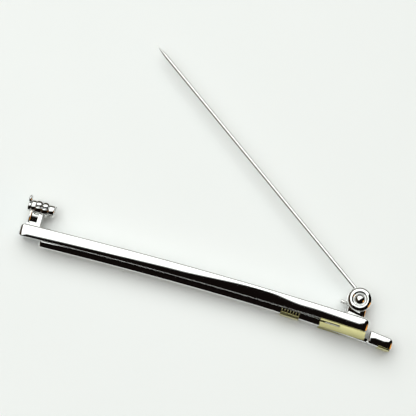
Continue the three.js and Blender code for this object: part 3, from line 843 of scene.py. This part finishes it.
def lever_knob(left):
    """The round knob that turns the catch, beside the left collar."""
    REACH, LEAN = 1.42, math.radians(48)
    MIDDLE, HALF, CORE, SWELL = 0.22, 0.32, 0.36, 0.4
    ARC_STEPS, TURN_STEPS = 12, 48
    place = Vector((0, CATCH_Y + REACH * math.cos(LEAN), MID_Z + REACH * math.sin(LEAN)))
    middle = left + MIDDLE
    profile = [(NEAR_AXIS, middle - HALF)]
    for k in range(ARC_STEPS + 1):
        turn = math.pi * (k / ARC_STEPS - 0.5)
        profile.append((CORE + SWELL * math.cos(turn), middle + HALF * math.sin(turn)))
    profile.append((NEAR_AXIS, middle + HALF))
    return turned_solid(profile, place, "x", TURN_STEPS)


def make_catch_rotor():
    BORE, MOUTH, COLLAR, BODY = 0.52, 0.46, 1.14, 1.0
    left, right = rotor_low.x, rotor_high.x
    stations = rounded_stations(left + 0.02, left + 0.54, COLLAR, 0.14)
    stations += [(left + 0.56, BODY), (right - 1.02, BODY)]
    stations += rounded_stations(right - 1.0, right, COLLAR, 0.2)
    shells = [split_tube(stations, BORE, MOUTH), lever_knob(left)]
    piece("rotor_sleeve", shells, SILVER, "rotor", ["catch_rotor"], sharp=35)


# ------------------------------------------------------------ stage
def make_floor():
    SIDE = 1.6
    bpy.ops.mesh.primitive_plane_add(size=SIDE, location=(0, 0, cad_box[0][2]))
    floor = bpy.context.object
    floor.name = "table_top"
    floor.data.materials.append(make_floor_material())


def make_camera():
    AZIMUTH, ELEVATION, DISTANCE = math.radians(15.66), math.radians(82), 0.25
    TARGET = Vector((-0.000908, 0.01143, 0.002))
    LENS, SENSOR, CLIP_START = 129.15, 36.0, 0.01
    back = Vector((math.sin(AZIMUTH) * math.cos(ELEVATION),
                   -math.cos(AZIMUTH) * math.cos(ELEVATION), math.sin(ELEVATION)))
    data = bpy.data.cameras.new("camera")
    data.sensor_width = SENSOR
    data.lens = LENS
    data.clip_start = CLIP_START
    camera = bpy.data.objects.new("camera", data)
    camera.location = TARGET + back * DISTANCE
    camera.rotation_euler = back.to_track_quat("Z", "Y").to_euler()
    bpy.context.scene.collection.objects.link(camera)
    bpy.context.scene.camera = camera


def world_dot(tree, direction, axis):
    dot = tree.nodes.new("ShaderNodeVectorMath")
    dot.operation = "DOT_PRODUCT"
    dot.inputs[1].default_value = Vector(axis).normalized()
    tree.links.new(direction, dot.inputs[0])
    return dot.outputs["Value"]


def smooth_step(tree, value, low, high):
    node = tree.nodes.new("ShaderNodeMapRange")
    node.interpolation_type = "SMOOTHSTEP"
    node.inputs["From Min"].default_value = low
    node.inputs["From Max"].default_value = high
    tree.links.new(value, node.inputs["Value"])
    return node.outputs["Result"]


def over(tree, factor, under, colour):
    """Lays a colour over what is under it."""
    mix = tree.nodes.new("ShaderNodeMix")
    mix.data_type = "RGBA"
    if isinstance(under, tuple):
        mix.inputs["A"].default_value = (*under, 1)
    else:
        tree.links.new(under, mix.inputs["A"])
    if isinstance(colour, tuple):
        mix.inputs["B"].default_value = (*colour, 1)
    else:
        tree.links.new(colour, mix.inputs["B"])
    tree.links.new(factor, mix.inputs["Factor"])
    return mix.outputs["Result"]


def make_world():
    """A white wall of light on one side, a dark room on the other."""
    DARK = (0.005, 0.0035, 0.003)
    WHITE = (1.45, 1.49, 1.465)
    AMBER = (1.2, 0.5, 0.09)
    LOW_WALL = (0.05, 0.034, 0.022)
    world = bpy.data.worlds.new("studio")
    world.use_nodes = True
    tree = world.node_tree
    direction = tree.nodes.new("ShaderNodeTexCoord").outputs["Generated"]
    amber = smooth_step(tree, world_dot(tree, direction, (0.93, -0.15, 0.3)), 0.96, 0.985)
    white = smooth_step(tree, world_dot(tree, direction, (-0.75, 0.66, 0.0)), -0.06, -0.02)
    low = smooth_step(tree, world_dot(tree, direction, (0, 0, 1)), 0.56, 0.46)
    corner = smooth_step(tree, world_dot(tree, direction, (0.3, 0.5, 0.8)), 0.56, 0.46)
    wall = over(tree, corner, over(tree, low, WHITE, LOW_WALL), LOW_WALL)
    colour = over(tree, white, over(tree, amber, DARK, AMBER), wall)
    background = tree.nodes["Background"]
    tree.links.new(colour, background.inputs["Color"])
    bpy.context.scene.world = world


def make_fill_light():
    """A broad soft fill that lightens the shadows and shows in no reflection."""
    data = bpy.data.lights.new("fill_panel", "AREA")
    data.size = 1.2
    data.energy = 5.5
    data.color = (0.95, 1.0, 0.99)
    light = bpy.data.objects.new("fill_panel", data)
    light.location = (-0.22, 0.12, 0.6)
    light.rotation_euler = Vector(light.location).to_track_quat("Z", "Y").to_euler()
    light.visible_glossy = False
    bpy.context.scene.collection.objects.link(light)


make_camera()
make_main_bar()
make_thumb_tab()
make_clip_arm()
make_clip_bracket()
make_grip_band()
make_thumb_pad()
make_pivot_pin()
make_pin_joint()
make_joint_rivet()
make_pin_stem()
make_catch_base()
make_catch_rotor()
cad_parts["clip_spring"].data.materials.clear()
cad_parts["clip_spring"].data.materials.append(STEEL)
make_floor()
make_world()
make_fill_light()
bpy.context.scene.view_settings.view_transform = "Standard"
